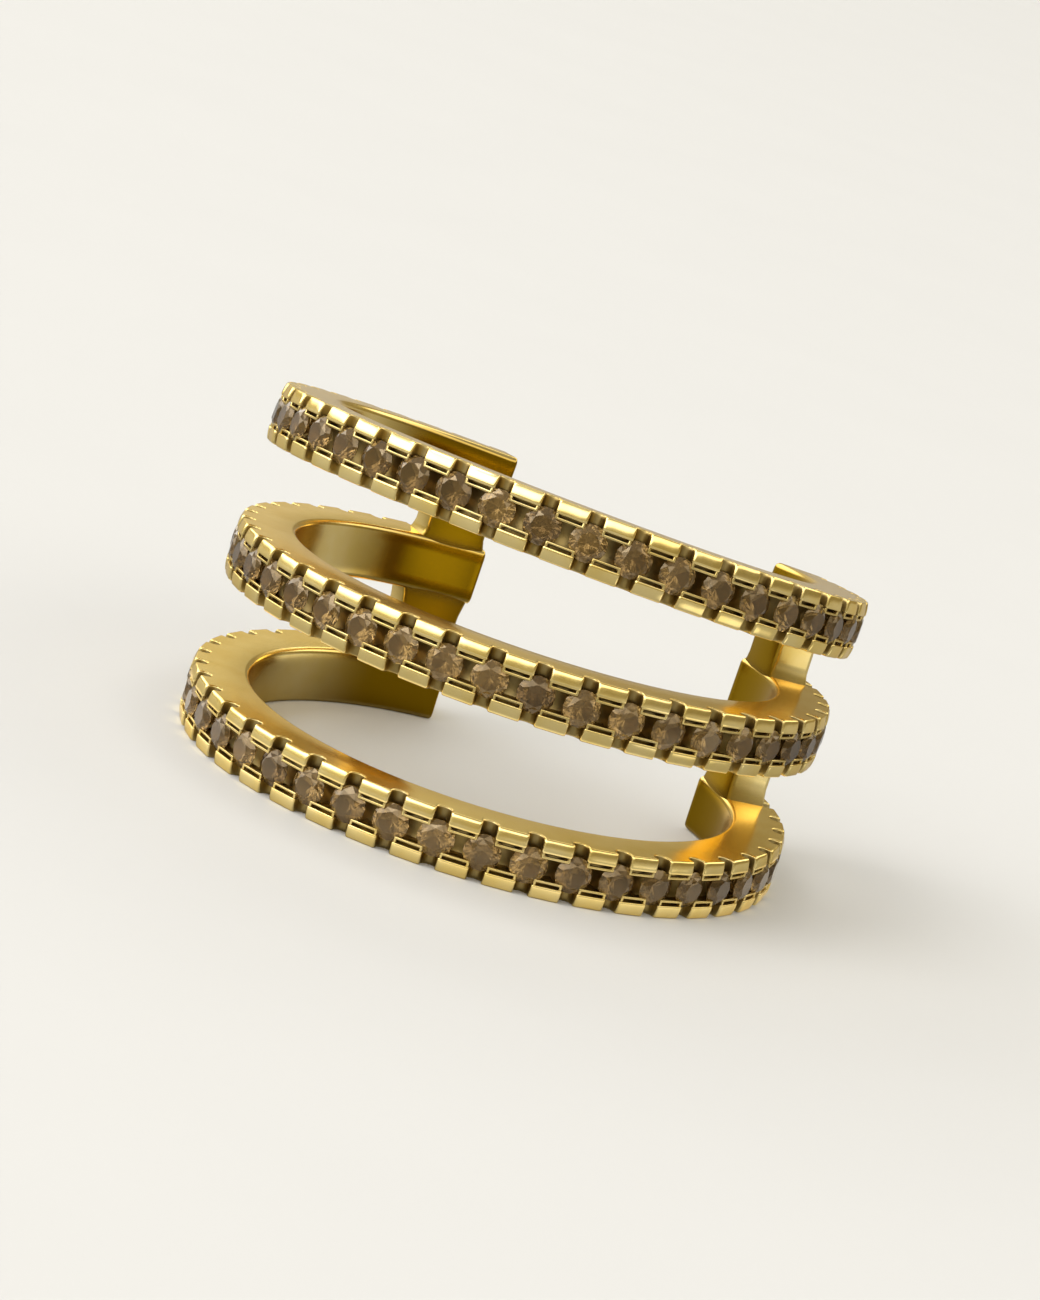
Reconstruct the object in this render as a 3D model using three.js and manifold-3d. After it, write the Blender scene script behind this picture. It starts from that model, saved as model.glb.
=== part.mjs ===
// Triple-band ear cuff, millimetres, +Z up.
// Three open rings lie one above the other with their gaps on +Y. The lowest ring rests flat on its
// side, and the rings fan apart towards -Y. Short square posts solder them together at both ends of
// the gap. Each ring holds one row of round stones in a channel around its outer face, and the
// channel's walls are notched beside every stone, which leaves a prong on each side of every gap.
import * as THREE from 'three';
import { ConvexGeometry } from 'three/addons/geometries/ConvexGeometry.js';
import { mergeVertices } from 'three/addons/utils/BufferGeometryUtils.js';
import Module from 'manifold-3d';

const wasm = await Module();
wasm.setup();

// Rings
const boreDiameter = 13.6;
const shankThickness = 0.91;
const wallThickness = 0.27;
const gapDegrees = 74;
const lowerSpacing = 3.85;
const upperSpacing = 3.35;
const lowerFanDegrees = 3.5;
const upperFanDegrees = 5.6;

// Stones, their seat strip and the notches beside them
const stoneDiameter = 1.0;
const tableDiameter = 0.58;
const crownHeight = 0.17;
const pavilionDepth = 0.43;
const culetSink = 0.15;
const seatThickness = 0.2;
const seatClearance = 0.04;
const sideClearance = 0.03;
const stonePitch = 1.26;
const endMarginMinimum = 0.75;
const notchWidth = 0.44;
const notchDepth = 0.42;

// Posts that join the rings
const postWidth = 1.8;
const postDepth = 1.1;
const postInset = 0.15;

// How finely the round shapes are divided
const stoneSides = 8;
const boreStepsPerStone = 2;
const notchArcSteps = 3;

// Worked out from the sizes above
const channelWidth = stoneDiameter + 2 * sideClearance;
const bandHeight = channelWidth + 2 * wallThickness;
const channelDepth = crownHeight + pavilionDepth - culetSink + seatThickness + seatClearance;
const boreRadius = boreDiameter / 2;
const channelFloorRadius = boreRadius + shankThickness;
const outerRadius = channelFloorRadius + channelDepth;
const seatInnerRadius = channelFloorRadius + seatClearance;
const seatOuterRadius = seatInnerRadius + seatThickness;
const girdleRadius = outerRadius - crownHeight;

const halfSpan = THREE.MathUtils.degToRad(360 - gapDegrees) / 2;
const pitchAngle = stonePitch / outerRadius;
const usableAngle = 2 * halfSpan - (2 * endMarginMinimum) / outerRadius;
const stoneCount = Math.floor(usableAngle / pitchAngle) + 1;
const stoneAngles = Array.from({ length: stoneCount }, (_, i) => (i - (stoneCount - 1) / 2) * pitchAngle);
const lastStoneAngle = stoneAngles[stoneCount - 1];
const channelEndAngle = lastStoneAngle + (stoneDiameter / 2 + sideClearance) / girdleRadius;
const seatEndAngle = lastStoneAngle + stoneDiameter / 2 / girdleRadius;
const postAngle = halfSpan - (postInset + postWidth / 2) / boreRadius;

const gold = new THREE.MeshStandardMaterial({ color: 0xd8b45c, roughness: 0.2, metalness: 1.0 });
const stoneBrown = new THREE.MeshStandardMaterial({ color: 0x8d7464, roughness: 0.08, metalness: 0.0 });

// A point in a ring's plane. Angle 0 is the middle of the C, on -Y, and it grows anticlockwise.
function polar(radius, angle) {
  return new THREE.Vector2(radius * Math.sin(angle), -radius * Math.cos(angle));
}

function toSolid(geometry) {
  const bare = geometry.clone();
  bare.deleteAttribute('normal');
  bare.deleteAttribute('uv');
  const merged = mergeVertices(bare, 1e-5);
  const vertProperties = new Float32Array(merged.attributes.position.array);
  const triVerts = new Uint32Array(merged.index.array);
  return new wasm.Manifold(new wasm.Mesh({ numProp: 3, vertProperties, triVerts }));
}

function toGeometry(solid) {
  const mesh = solid.getMesh();
  const geometry = new THREE.BufferGeometry();
  geometry.setAttribute('position', new THREE.BufferAttribute(new Float32Array(mesh.vertProperties), 3));
  geometry.setIndex(new THREE.BufferAttribute(new Uint32Array(mesh.triVerts), 1));
  geometry.computeVertexNormals();
  return geometry;
}

// An open ring's outline in its own plane, with a corner at each stone's angle so that the ring,
// the channel and the seat strip have their flats in the same places.
function ringOutline(innerRadius, radius, endAngle, innerSteps) {
  const outerAngles = [-endAngle, ...stoneAngles, endAngle];
  const points = outerAngles.map((angle) => polar(radius, angle));
  for (let i = outerAngles.length - 1; i > 0; i -= 1) {
    for (let j = 0; j < innerSteps; j += 1) {
      const angle = THREE.MathUtils.lerp(outerAngles[i], outerAngles[i - 1], j / innerSteps);
      points.push(polar(innerRadius, angle));
    }
  }
  points.push(polar(innerRadius, -endAngle));
  return new THREE.Shape(points);
}

// The outline raised to a height along the ring's axis and centred on the ring's middle plane.
function raise(shape, height) {
  const geometry = new THREE.ExtrudeGeometry(shape, { depth: height, bevelEnabled: false });
  return geometry.translate(0, 0, -height / 2);
}

// A round-ended slot through both walls, open to the outside of the ring.
function notchGeometry() {
  const radius = notchWidth / 2;
  const arcCentre = outerRadius - notchDepth + radius;
  const points = [new THREE.Vector2(-radius, -outerRadius - notchWidth)];
  points.push(new THREE.Vector2(radius, -outerRadius - notchWidth));
  for (let i = 0; i <= notchArcSteps; i += 1) {
    const turn = (Math.PI * i) / notchArcSteps;
    points.push(new THREE.Vector2(radius * Math.cos(turn), -arcCentre + radius * Math.sin(turn)));
  }
  return raise(new THREE.Shape(points), 2 * bandHeight);
}

function bandSolid() {
  const ring = ringOutline(boreRadius, outerRadius, halfSpan, boreStepsPerStone);
  const channel = ringOutline(channelFloorRadius, outerRadius + channelDepth, channelEndAngle, 1);
  let band = toSolid(raise(ring, bandHeight)).subtract(toSolid(raise(channel, channelWidth)));
  for (const angle of stoneAngles) {
    band = band.subtract(toSolid(notchGeometry().rotateZ(angle)));
  }
  return band;
}

// A round brilliant on the ring's outer face at angle 0: culet, girdle, sloping crown and table,
// with the table turned half a side against the girdle, which gives two rows of crown facets.
function brilliantGeometry() {
  const points = [];
  const addLevel = (diameter, height, turn) => {
    for (let i = 0; i < stoneSides; i += 1) {
      const angle = ((i + turn) * 2 * Math.PI) / stoneSides;
      const across = (diameter / 2) * Math.cos(angle);
      points.push(new THREE.Vector3(across, -height, (diameter / 2) * Math.sin(angle)));
    }
  };
  points.push(new THREE.Vector3(0, pavilionDepth - girdleRadius, 0));
  addLevel(stoneDiameter, girdleRadius, 0);
  addLevel(tableDiameter, girdleRadius + crownHeight, 0.5);
  return new ConvexGeometry(points);
}

// All stones of one ring, with their points held in a thin strip on the channel's floor.
function stoneRowSolid() {
  const seat = ringOutline(seatInnerRadius, seatOuterRadius, seatEndAngle, 1);
  let row = toSolid(raise(seat, stoneDiameter));
  for (const angle of stoneAngles) {
    row = row.add(toSolid(brilliantGeometry().rotateZ(angle)));
  }
  return row;
}

// Where each ring's middle lies, and how far the ring leans. All three share the middle ring's axis.
const lowerLean = THREE.MathUtils.degToRad(lowerFanDegrees);
const upperLean = THREE.MathUtils.degToRad(lowerFanDegrees + upperFanDegrees);
function ringPlace(name, alongAxis, lean) {
  const centre = new THREE.Vector3(0, Math.sin(lowerLean), Math.cos(lowerLean)).multiplyScalar(alongAxis);
  const place = new THREE.Object3D();
  place.position.copy(centre).add(new THREE.Vector3(0, 0, bandHeight / 2));
  place.rotation.x = -lean;
  place.updateMatrix();
  return { name, position: place.position, lean, matrix: place.matrix };
}
const rings = [
  ringPlace('bottom', 0, 0),
  ringPlace('middle', lowerSpacing, lowerLean),
  ringPlace('top', lowerSpacing + upperSpacing, upperLean),
];

// A post between two rings at one end of the gap. Its inner face touches the bore, and both its
// ends reach halfway into the rings' walls.
function postGeometry(lower, upper, side) {
  const sink = wallThickness / 2;
  const points = [];
  for (const [ring, height] of [[lower, bandHeight / 2 - sink], [upper, sink - bandHeight / 2]]) {
    for (const across of [-postWidth / 2, postWidth / 2]) {
      for (const radius of [boreRadius, boreRadius + postDepth]) {
        const corner = new THREE.Vector3(across, -radius, height);
        corner.applyAxisAngle(new THREE.Vector3(0, 0, 1), side * postAngle);
        points.push(corner.applyMatrix4(ring.matrix));
      }
    }
  }
  return new ConvexGeometry(points);
}

function frameSolid() {
  const band = toGeometry(bandSolid());
  let frame = null;
  for (const ring of rings) {
    const placed = toSolid(band.clone().applyMatrix4(ring.matrix));
    frame = frame ? frame.add(placed) : placed;
  }
  for (let i = 0; i + 1 < rings.length; i += 1) {
    for (const side of [-1, 1]) {
      frame = frame.add(toSolid(postGeometry(rings[i], rings[i + 1], side)));
    }
  }
  return frame;
}

const cuff = new THREE.Group();

const frame = new THREE.Mesh(toGeometry(frameSolid()), gold);
frame.name = 'cuff_frame';
cuff.add(frame);

const rowGeometry = toGeometry(stoneRowSolid());
for (const ring of rings) {
  const place = new THREE.Group();
  place.position.copy(ring.position);
  place.rotation.x = -ring.lean;
  const row = new THREE.Mesh(rowGeometry, stoneBrown);
  row.name = `stone_row_${ring.name}`;
  place.add(row);
  cuff.add(place);
}

// The origin is under the middle of the cuff, on the surface that it rests on.
const box = new THREE.Box3().setFromObject(cuff, true);
const middle = box.getCenter(new THREE.Vector3());
cuff.position.set(-middle.x, -middle.y, -box.min.z);

export default cuff;
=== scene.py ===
import math
from collections import namedtuple

import bmesh
import bpy
from mathutils import Matrix, Vector


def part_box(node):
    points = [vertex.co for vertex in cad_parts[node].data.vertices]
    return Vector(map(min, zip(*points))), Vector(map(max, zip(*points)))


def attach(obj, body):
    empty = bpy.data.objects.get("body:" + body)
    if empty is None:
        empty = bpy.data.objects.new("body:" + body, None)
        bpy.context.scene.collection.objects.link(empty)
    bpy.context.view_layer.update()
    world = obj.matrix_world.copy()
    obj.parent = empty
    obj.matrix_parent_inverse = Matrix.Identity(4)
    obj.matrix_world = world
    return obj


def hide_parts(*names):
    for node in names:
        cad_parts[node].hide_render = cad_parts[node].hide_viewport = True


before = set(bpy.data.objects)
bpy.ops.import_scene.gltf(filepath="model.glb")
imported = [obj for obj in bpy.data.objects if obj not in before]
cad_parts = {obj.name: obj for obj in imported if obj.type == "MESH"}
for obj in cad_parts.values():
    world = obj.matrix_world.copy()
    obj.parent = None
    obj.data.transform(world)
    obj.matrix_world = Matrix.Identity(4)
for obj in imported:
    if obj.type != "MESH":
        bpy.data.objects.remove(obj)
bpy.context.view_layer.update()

bl_info = {
    "name": "Triple-band ear cuff",
    "version": (1, 0, 0),
    "blender": (4, 5, 0),
    "location": "3D View > Sidebar > Ear Cuff",
    "description": "Three stone-set gold bands joined by posts at the ends of their gap",
    "category": "Object",
}

MM = 0.001

# The rings: how far the middle of each lies above the lowest one, along the middle ring's axis, and
# how far each leans back
RING_NAMES = ("bottom", "middle", "top")
RING_SPACINGS = (0, 3.85 * MM, 7.2 * MM)
RING_LEANS = (0, math.radians(3.5), math.radians(9.1))

# How finely the round shapes are divided
BORE_STEPS = 4
EDGE_STEPS = 3
FACE_STEPS = 5
CORNER_STEPS = 4
NOTCH_STEPS = 6
END_STEPS = 4
POST_CORNER_STEPS = 4
POST_LEVELS = 9
BRILLIANT_SIDES = 8

# Edges that turn by more than this stay sharp
BAND_SHARP = math.radians(50)
POST_SHARP = math.radians(40)

# Section of a band: a point on the bore as a share of half the height, the loop beside the outer
# edge and the rounding of the wall's inner edge as shares of the edge rounding, the middle of that
# rounding as a share of it, and the points across the closed ends of the channel as shares of half
# its width
BORE_POINT = 0.45
EDGE_SUPPORT = 1.4
INNER_EDGE = 0.6
INNER_EDGE_MIDDLE = 0.3
CLOSED_POINTS = (1.0, 0.85, 0.7, 0.55, 0.3)

# How far round the ring, in radians, the channel takes to close behind the last stone
CLOSING_ANGLE = 0.003

# How dark the recesses are, where 1 is all tarnish and painted shade: the end of a prong's rounded
# corner, the least at the wall's inner edge, on its inner face and on the lips, the channel between
# the stones, and a notch at its start and at its end. A notch is told from a corner by its darker
# start. The tarnish in the hollows is real. The rest of the darkening is painted shade where the
# notches, the channel, the wall and the lips lie in shadow.
CORNER_RECESS = 0.6
INNER_EDGE_RECESS = 0.2
WALL_RECESS = 0.6
LIP_RECESS = 0.3
CHANNEL_RECESS = 0.84
NOTCH_START = 0.68
NOTCH_END = 0.8

# Prongs: how far a lip and its root reach into the wall, the least width of a lip at its ends, how
# far a root stands back from the lip, the inset and thickness of a pocket's floor, and the roundings
LIP_IN_WALL = 0.05 * MM
POCKET_MARGIN = 0.07 * MM
ROOT_SETBACK = 0.03 * MM
POCKET_FLOOR_INSET = 0.02 * MM
POCKET_FLOOR_THICKNESS = 0.12 * MM
LIP_ROUNDING = 0.02 * MM
POCKET_FLOOR_ROUNDING = 0.01 * MM

# The height over which painted shade darkens a lip downwards into its pocket, and how far the last
# lip of a row reaches past its own middle, as a share of half its length
LIP_PAINTED_SHADE_HEIGHT = 0.1 * MM
LAST_LIP_END = 0.1

# Posts: how far their ends sink into the bands, and the share of their length that the solder covers.
# It spreads in full to one side, up to a share of the post's inset to the other, and by a share of
# its spread outwards.
POST_SINK = 0.1 * MM
SOLDER_LENGTH = 0.3
SOLDER_ON_INSET = 0.6
SOLDER_OUTWARDS = 0.5

# How much tarnish and painted shade the solder's foot takes and how fast that fades along a post,
# and the share of the post's depth over which its painted warm reflection and shade fade
SOLDER_RECESS = 0.6
SOLDER_FADE = 4
POST_AMBER_REFLECTION_DEPTH = 0.3

# Stones: where the kite facets meet, as shares of the way from the table out to the girdle and from
# the girdle up to the table, and where the pavilion's mains meet, as shares of radius and depth
KITE_OUT = 0.52
KITE_UP = 0.56
MAIN_RADIUS = 0.24
MAIN_DEPTH = 0.78

# The most that a stone is turned about its own axis, and what sets its shade apart from its lean
STONE_TURN = math.radians(22)
SHADE_SEED = 11.0

# Plating: the range of the slow noise over which the tone deepens, how much tarnish with painted
# shade and how much dullness a full recess has, how dull the polishing marks are, how far they are
# drawn out round the ring, and their bump
TONE_RANGE = (0.35, 0.7)
PATINA_AND_SHADE_AMOUNT = 0.95
RECESS_DULLNESS = 0.22
MARK_DULLNESS = 0.09
MARK_STRETCH = (1.0, 1.0, 5.0)
MARK_STRENGTH = 0.12
MARK_DISTANCE = 0.01 * MM
GOLD_TINT = (1.0, 0.86, 0.6, 1.0)

# Stone: how much its own shade and the cloud inside it darken it, the waves to the metre of the
# cloud and of the polish, its greatest roughness and its optics
SHADE_AMOUNT = 0.75
CLOUD_AMOUNT = 0.5
CLOUD_SCALE = 1600.0
POLISH_SCALE = 14000.0
POLISH_ROUGHNESS = 0.06
STONE_IOR = 1.76
STONE_TINT = (1.0, 0.8, 0.52, 1.0)
STONE_TRANSMISSION = 0.84

# How much of the painted warm reflection and shade the inner faces take at the front, and where
# along +Y it becomes full
FRONT_AMBER_REFLECTION = 0.1
AMBER_REFLECTION_START = 1.5 * MM
AMBER_REFLECTION_FULL = 4.6 * MM

# The room's tones at heights above the horizon, in degrees: a warm, dim foot under a broad band of
# light, which stands lower on the left than on the right
ROOM_TONES = (
    (-2, (0.145, 0.132, 0.09)),
    (14.5, (0.17, 0.157, 0.11)),
    (20, (1.0, 1.0, 1.0)),
    (36, (1.0, 1.0, 1.0)),
    (44, (0.2, 0.2, 0.2)),
)
ROOM_TILT = 0.08

# How the room's light changes from the front left to the back right, and that way as a direction of
# about half a unit
ROOM_TINTS = ((1.4, 1.4, 1.4, 1), (0.62, 0.575, 0.46, 1))
ROOM_RIGHTWARDS = (0.45, 0.22, 0.0)

# The room's lowest tone and where it starts, as a share of the way from straight down to straight
# up, and its highest tone
ROOM_LOWEST = 0.45
ROOM_BELOW = (0.3, 0.3, 0.3, 1)
ROOM_ZENITH = (0.25, 0.25, 0.25, 1)
ROOM_STRENGTH = 2.8
BACKDROP_STRENGTH = 0.9

# The card behind the object: how far round it reaches, as the cosine of that angle, its tones on
# the left and on the right, and half the width over which one fades into the other
CARD_EDGE = (0.84, 0.93)
CARD_TONES = ((0.25, 0.24, 0.2, 1), (0.11, 0.1, 0.07, 1))
CARD_FADE = 0.07

# The floor: its half width, the scale of its grain and how dark that is, and its finish
FLOOR_REACH = 4.0
FLOOR_GRAIN_SCALE = 90.0
FLOOR_GRAIN_TONE = 0.97
FLOOR_ROUGHNESS = 0.6
FLOOR_SPECULAR = 0.2

# What the metal sees of the floor, as painted reflections that the camera never sees, by the
# distance from the middle as a share of this radius: a pale ring close round the object, and duller
# ground inside and outside it
FLOOR_RADIUS = 20 * MM
FLOOR_REFLECTION_TONES = ((0.38, 0.32), (0.44, 0.9), (0.5, 0.9), (0.62, 0.32))

# A pale patch of it on the right, a painted reflection which the posts mirror: its middle, and the
# radii of its soft edge
PATCH_MIDDLE = (29 * MM, -5 * MM, 0.0)
PATCH_EDGE = (12 * MM, 7 * MM)
PATCH_REFLECTION_TONE = (0.95, 0.95, 0.93, 1)

# The key light: its place, the point that it faces, its width and height, and its power in watts
KEY_PLACE = (-0.48, -0.6, 0.9)
KEY_AIM = (0, 0, 5 * MM)
KEY_SIZE = (0.5, 0.5)
KEY_POWER = 4.2
KEY_COLOUR = (1.0, 0.99, 0.97)

# The camera: its sensor's width in millimetres, and the nearest and farthest that it sees, in metres
SENSOR_WIDTH = 36
CLIP_RANGE = (0.002, 20)


# Sizes and finishes that a user would change


class CuffBandSizes(bpy.types.PropertyGroup):
    """Sizes of one open band and of the prongs that stand between its stones"""

    bore_radius: bpy.props.FloatProperty(
        name="Bore radius", description="From a ring's axis to its smooth inner face",
        default=6.8 * MM, unit="LENGTH", precision=5)
    channel_radius: bpy.props.FloatProperty(
        name="Channel floor radius", description="From a ring's axis to the floor under the stones",
        default=7.71 * MM, unit="LENGTH", precision=5)
    outer_radius: bpy.props.FloatProperty(
        name="Outer radius", description="From a ring's axis to the corners between its prongs",
        default=8.4 * MM, unit="LENGTH", precision=5)
    height: bpy.props.FloatProperty(
        name="Band height", description="Height of a band along the ring's axis",
        default=1.6 * MM, unit="LENGTH", precision=5)
    wall: bpy.props.FloatProperty(
        name="Wall thickness", description="Thickness of each wall beside the stones",
        default=0.36 * MM, unit="LENGTH", precision=5)
    gap: bpy.props.FloatProperty(
        name="Gap", description="Angle of the opening in every ring",
        default=math.radians(74), subtype="ANGLE")
    notch_width: bpy.props.FloatProperty(
        name="Notch width", description="Width of the round-ended notch beside each stone",
        default=0.4 * MM, unit="LENGTH", precision=5)
    notch_depth: bpy.props.FloatProperty(
        name="Notch depth", description="Depth of the notch, measured from the outer radius",
        default=0.42 * MM, unit="LENGTH", precision=5)
    corner: bpy.props.FloatProperty(
        name="Prong corner", description="Rounding of a prong's corners, seen along the ring's axis",
        default=0.07 * MM, unit="LENGTH", precision=6)
    edge: bpy.props.FloatProperty(
        name="Edge rounding", description="Rounding of the band's outer edges",
        default=0.04 * MM, unit="LENGTH", precision=6)
    slope: bpy.props.FloatProperty(
        name="Face fall", description="How far a prong's domed face falls towards the band's edge",
        default=0.066 * MM, unit="LENGTH", precision=6)
    bore_edge: bpy.props.FloatProperty(
        name="Bore edge rounding", description="Rounding of the bore's edges",
        default=0.16 * MM, unit="LENGTH", precision=5)
    end_edge: bpy.props.FloatProperty(
        name="End rounding", description="Rounding of the faces at the ends of the gap",
        default=0.1 * MM, unit="LENGTH", precision=5)


class CuffStoneSizes(bpy.types.PropertyGroup):
    """Sizes of the brilliants and the way they are spread along a band"""

    diameter: bpy.props.FloatProperty(
        name="Stone diameter", description="Diameter at the girdle",
        default=1.0 * MM, unit="LENGTH", precision=5)
    table: bpy.props.FloatProperty(
        name="Table diameter", description="Distance between opposite corners of the table",
        default=0.58 * MM, unit="LENGTH", precision=5)
    crown: bpy.props.FloatProperty(
        name="Crown height", description="From the girdle to the table",
        default=0.16 * MM, unit="LENGTH", precision=5)
    girdle: bpy.props.FloatProperty(
        name="Girdle height", description="Thickness of the girdle",
        default=0.02 * MM, unit="LENGTH", precision=6)
    pavilion: bpy.props.FloatProperty(
        name="Pavilion depth", description="From the girdle to the culet",
        default=0.43 * MM, unit="LENGTH", precision=5)
    count: bpy.props.IntProperty(
        name="Stones in a band", description="Number of stones in each band",
        default=33, min=3)
    pitch: bpy.props.FloatProperty(
        name="Stone pitch", description="Distance between stones along the outer radius",
        default=1.26 * MM, unit="LENGTH", precision=5)
    tilt: bpy.props.FloatProperty(
        name="Setting tilt", description="The most that a stone leans in its seat",
        default=math.radians(2.5), subtype="ANGLE")
    seed: bpy.props.IntProperty(
        name="Seed", description="Changes how the stones lean and turn",
        default=7, min=0)


class CuffProngSizes(bpy.types.PropertyGroup):
    """Sizes of the lip and pocket on the inner side of each prong"""

    width: bpy.props.FloatProperty(
        name="Lip length", description="Length of the lip along the band",
        default=0.78 * MM, unit="LENGTH", precision=5)
    reach: bpy.props.FloatProperty(
        name="Lip reach", description="From the band's middle line to the lip",
        default=0.29 * MM, unit="LENGTH", precision=5)
    rim: bpy.props.FloatProperty(
        name="Lip width", description="Width of the lip beside the pocket",
        default=0.065 * MM, unit="LENGTH", precision=5)
    drop: bpy.props.FloatProperty(
        name="Lip drop", description="How far the lip lies below the prong's outer face",
        default=0.03 * MM, unit="LENGTH", precision=6)
    thickness: bpy.props.FloatProperty(
        name="Lip thickness", description="Thickness of the lip over the stones",
        default=0.09 * MM, unit="LENGTH", precision=5)
    pocket_length: bpy.props.FloatProperty(
        name="Pocket length", description="Length of the slot between the lip and the wall",
        default=0.64 * MM, unit="LENGTH", precision=5)
    pocket_depth: bpy.props.FloatProperty(
        name="Pocket depth", description="Depth of the slot between the lip and the wall",
        default=0.2 * MM, unit="LENGTH", precision=5)
    root: bpy.props.FloatProperty(
        name="Root length", description="Length of the prong's root between two stones",
        default=0.44 * MM, unit="LENGTH", precision=5)


class CuffPostSizes(bpy.types.PropertyGroup):
    """Sizes of the posts that join the bands at both ends of the gap"""

    width: bpy.props.FloatProperty(
        name="Post width", description="Width of a post along the band",
        default=1.8 * MM, unit="LENGTH", precision=5)
    depth: bpy.props.FloatProperty(
        name="Post depth", description="Depth of a post, from the bore outwards",
        default=1.1 * MM, unit="LENGTH", precision=5)
    inset: bpy.props.FloatProperty(
        name="Post inset", description="From the end of the band to the post",
        default=0.15 * MM, unit="LENGTH", precision=5)
    corner: bpy.props.FloatProperty(
        name="Post corner", description="Rounding of a post's upright edges",
        default=0.12 * MM, unit="LENGTH", precision=5)
    fillet: bpy.props.FloatProperty(
        name="Solder fillet", description="How far the solder spreads where a post meets a band",
        default=0.14 * MM, unit="LENGTH", precision=5)


class CuffFinish(bpy.types.PropertyGroup):
    """Colours and gloss of the plating and the stones"""

    gold: bpy.props.FloatVectorProperty(
        name="Gold", description="Colour of the polished plating",
        default=(0.93, 0.745, 0.33), size=3, subtype="COLOR", min=0, max=1)
    gold_deep: bpy.props.FloatVectorProperty(
        name="Deep gold", description="Colour of the plating where it is a little thicker",
        default=(0.87, 0.655, 0.22), size=3, subtype="COLOR", min=0, max=1)
    # Tarnish in the hollows together with painted shade where they lie in shadow
    patina_and_shade: bpy.props.FloatVectorProperty(
        name="Patina", description="Colour in the recesses between the stones",
        default=(0.11, 0.065, 0.02), size=3, subtype="COLOR", min=0, max=1)
    # Painted reflection and shade: the warm surroundings mirrored in the faces towards the middle of
    # the rings
    amber_reflection: bpy.props.FloatVectorProperty(
        name="Amber", description="Colour of the faces towards the middle of the rings",
        default=(0.29, 0.168, 0.003), size=3, subtype="COLOR", min=0, max=1)
    gloss: bpy.props.FloatProperty(
        name="Gold roughness", description="Roughness of the polished plating",
        default=0.13, min=0, max=1, subtype="FACTOR")
    stone: bpy.props.FloatVectorProperty(
        name="Stone", description="Colour of the stones",
        default=(0.38, 0.235, 0.078), size=3, subtype="COLOR", min=0, max=1)
    stone_dark: bpy.props.FloatVectorProperty(
        name="Darker stone", description="Colour of the darkest stones in a row",
        default=(0.14, 0.078, 0.027), size=3, subtype="COLOR", min=0, max=1)


class CuffStage(bpy.types.PropertyGroup):
    """The camera, the lights and the floor"""

    azimuth: bpy.props.FloatProperty(
        name="View azimuth", description="How far the camera stands round to +X from the front",
        default=math.radians(21.47), subtype="ANGLE")
    elevation: bpy.props.FloatProperty(
        name="View elevation", description="How far the camera stands above the horizon",
        default=math.radians(12.89), subtype="ANGLE")
    roll: bpy.props.FloatProperty(
        name="View roll", description="How far the camera leans to its left",
        default=math.radians(17.5), subtype="ANGLE")
    distance: bpy.props.FloatProperty(
        name="View distance", description="From the camera to the middle of the cuff",
        default=0.1247, unit="LENGTH", precision=4)
    lens: bpy.props.FloatProperty(
        name="Lens", description="Focal length of the camera", default=128.0, min=1)
    aim: bpy.props.FloatVectorProperty(
        name="Aim", description="The point at the middle of the picture",
        default=(-0.04 * MM, 0.68 * MM, 4.23 * MM), size=3, subtype="TRANSLATION")
    floor_colour: bpy.props.FloatVectorProperty(
        name="Floor", description="Colour of the floor",
        default=(0.62, 0.617, 0.61), size=3, subtype="COLOR", min=0, max=1)


# Where the three rings lie

RingPlace = namedtuple("RingPlace", "name matrix")


def ring_places(scene):
    """Each ring's own frame: its middle at the origin, its axis on Z and the middle of its C on -Y.
    The lowest row of stones gives the lowest ring's place."""
    band = scene.cuff_band
    lowest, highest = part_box("stone_row_bottom")
    base = Vector((0, lowest.y + band.outer_radius, (lowest.z + highest.z) / 2))
    axis = Vector((0, math.sin(RING_LEANS[1]), math.cos(RING_LEANS[1])))
    places = []
    for name, spacing, lean in zip(RING_NAMES, RING_SPACINGS, RING_LEANS):
        matrix = Matrix.Translation(base + spacing * axis) @ Matrix.Rotation(-lean, 4, "X")
        places.append(RingPlace(name, matrix))
    return places


# Mesh helpers


def mesh_from(name, points, faces):
    """A mesh of these points and faces, its doubles merged and its faces turned outwards."""
    mesh = bpy.data.meshes.new(name)
    mesh.from_pydata([tuple(point) for point in points], [], faces)
    shape = bmesh.new()
    shape.from_mesh(mesh)
    bmesh.ops.remove_doubles(shape, verts=shape.verts, dist=1e-7)
    bmesh.ops.recalc_face_normals(shape, faces=shape.faces)
    shape.to_mesh(mesh)
    shape.free()
    return mesh


def faces_between(rings, size):
    """The quads between closed rings of points, each ring of this size."""
    faces = []
    for i in range(rings - 1):
        for j in range(size):
            k = (j + 1) % size
            faces.append((i * size + j, i * size + k, (i + 1) * size + k, (i + 1) * size + j))
    return faces


def add_object(name, mesh):
    """A new object in the scene that holds this mesh."""
    piece = bpy.data.objects.new(name, mesh)
    bpy.context.scene.collection.objects.link(piece)
    return piece


def add_helper(name, mesh):
    """An object that only a node tree reads. It is removed before the script ends."""
    return bpy.data.objects.new(name, mesh)


def drop_helper(helper):
    """Removes a helper and its mesh, once every tree that read it is applied."""
    mesh = helper.data
    bpy.data.objects.remove(helper)
    bpy.data.meshes.remove(mesh)


def made_plain(piece, matrix):
    """The piece's modifiers become its mesh, and its place in the frame goes into that mesh."""
    graph = bpy.context.evaluated_depsgraph_get()
    graph.update()
    mesh = bpy.data.meshes.new_from_object(
        piece.evaluated_get(graph), preserve_all_data_layers=True, depsgraph=graph)
    piece.modifiers.clear()
    old = piece.data
    piece.data = mesh
    bpy.data.meshes.remove(old)
    mesh.name = piece.name
    mesh.transform(matrix)
    mesh.update()
    return piece


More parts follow.
